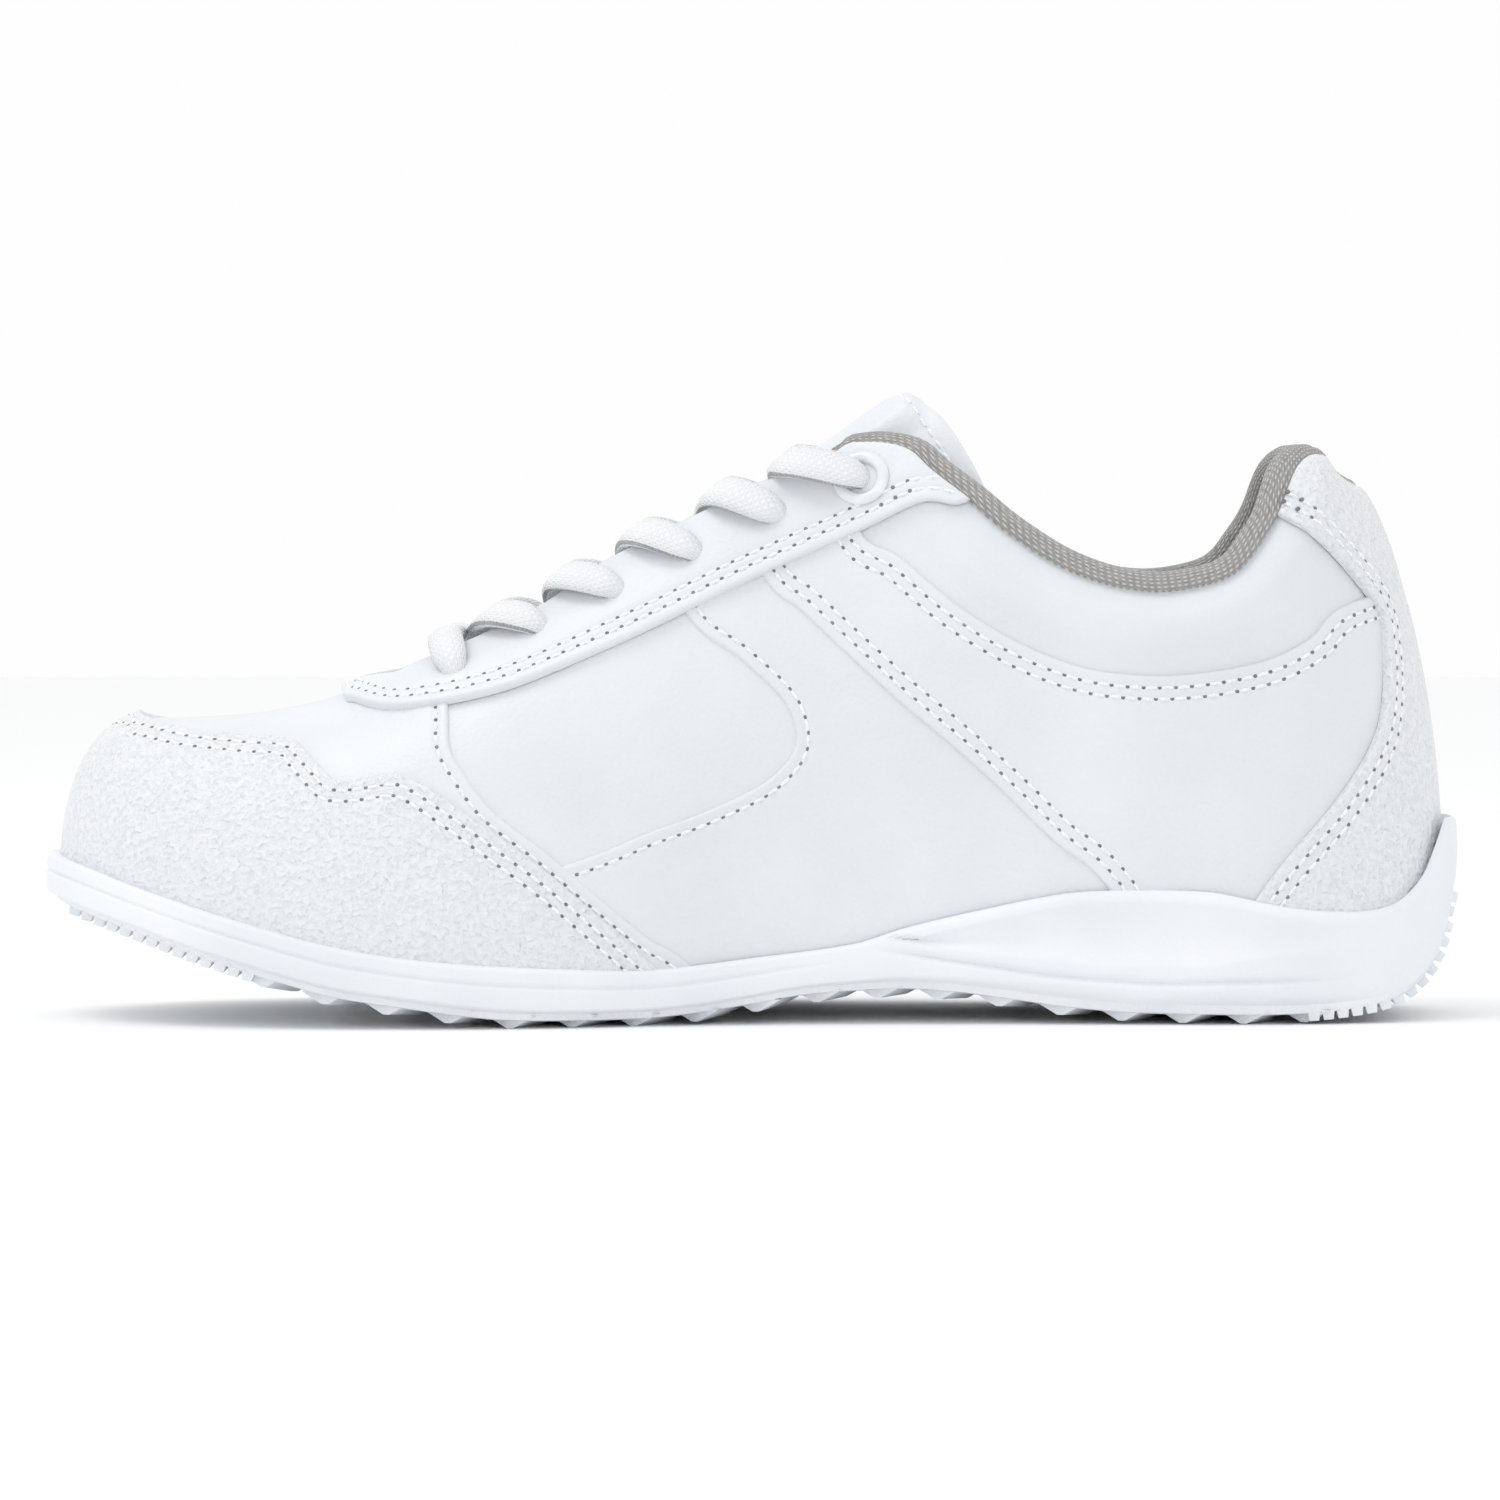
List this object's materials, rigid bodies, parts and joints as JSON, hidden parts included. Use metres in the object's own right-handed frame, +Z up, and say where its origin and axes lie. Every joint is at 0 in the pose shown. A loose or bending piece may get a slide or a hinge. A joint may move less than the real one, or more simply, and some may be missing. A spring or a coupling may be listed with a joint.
{
  "type": "cheer shoe",
  "caption": "Low white lace-up cheer shoe for the right foot, with a layered leather upper, padded knit collar, cupped foam midsole and lugged rubber outsole.",
  "frame": {"origin": "on the ground, under the middle of the shoe's box", "axes": "+Z up, +X from the toe to the heel, +Y to the lateral (outer) side; the medial side faces -Y"},
  "size_m": [0.2678, 0.0962, 0.1163],
  "materials": {
    "smooth_leather": "smooth coated white leather, satin",
    "grain_leather": "pebbled coated white leather, satin",
    "midsole_foam": "moulded EVA foam, satin skin",
    "outsole_rubber": "moulded white rubber, matt",
    "grey_knit": "grey spacer mesh",
    "lining_cloth": "white woven lining",
    "padding_foam": "open cell padding",
    "fibre_board": "non-woven fibre board",
    "lace_weave": "woven polyester lace",
    "ring_enamel": "white enamelled ring",
    "aglet_plastic": "clear white film"
  },
  "bodies": {
    "shoe": {"outsole": "outsole_rubber", "midsole": "midsole_foam", "insole_board": "fibre_board", "footbed_foam": "padding_foam", "footbed_cloth": "grey_knit", "vamp": "smooth_leather", "window_insert_medial": "smooth_leather", "window_insert_lateral": "smooth_leather", "midfoot_panel_medial": "smooth_leather", "midfoot_panel_lateral": "smooth_leather", "rear_quarter_medial": "smooth_leather", "rear_quarter_lateral": "smooth_leather", "collar_panel_medial": "smooth_leather", "collar_panel_lateral": "smooth_leather", "toe_overlay": "grain_leather", "eyestay": "grain_leather", "heel_overlay": "grain_leather", "toe_puff": "fibre_board", "heel_counter": "fibre_board", "vamp_backing": "padding_foam", "quarter_backing_medial": "padding_foam", "quarter_backing_lateral": "padding_foam", "vamp_lining": "lining_cloth", "quarter_lining": "lining_cloth", "collar_foam": "padding_foam", "collar_lining": "grey_knit", "eyelet_ring_medial": "ring_enamel", "eyelet_ring_lateral": "ring_enamel", "lace": "lace_weave", "lace_end_medial": "lace_weave", "lace_end_lateral": "lace_weave", "aglet_medial": "aglet_plastic", "aglet_lateral": "aglet_plastic"},
    "tongue": {"tongue_cover": "smooth_leather", "tongue_foam": "padding_foam", "tongue_lining": "grey_knit"}
  },
  "joints": [
    {"name": "tongue_tilt", "type": "hinge", "parent": "shoe", "child": "tongue", "pos_m": [-0.0781, -0.0011, 0.048], "axis": [0, 1, 0], "range_deg": [0, 12], "stiffness_Nm_per_rad": 0.2, "springref_deg": -8.59}
  ]
}
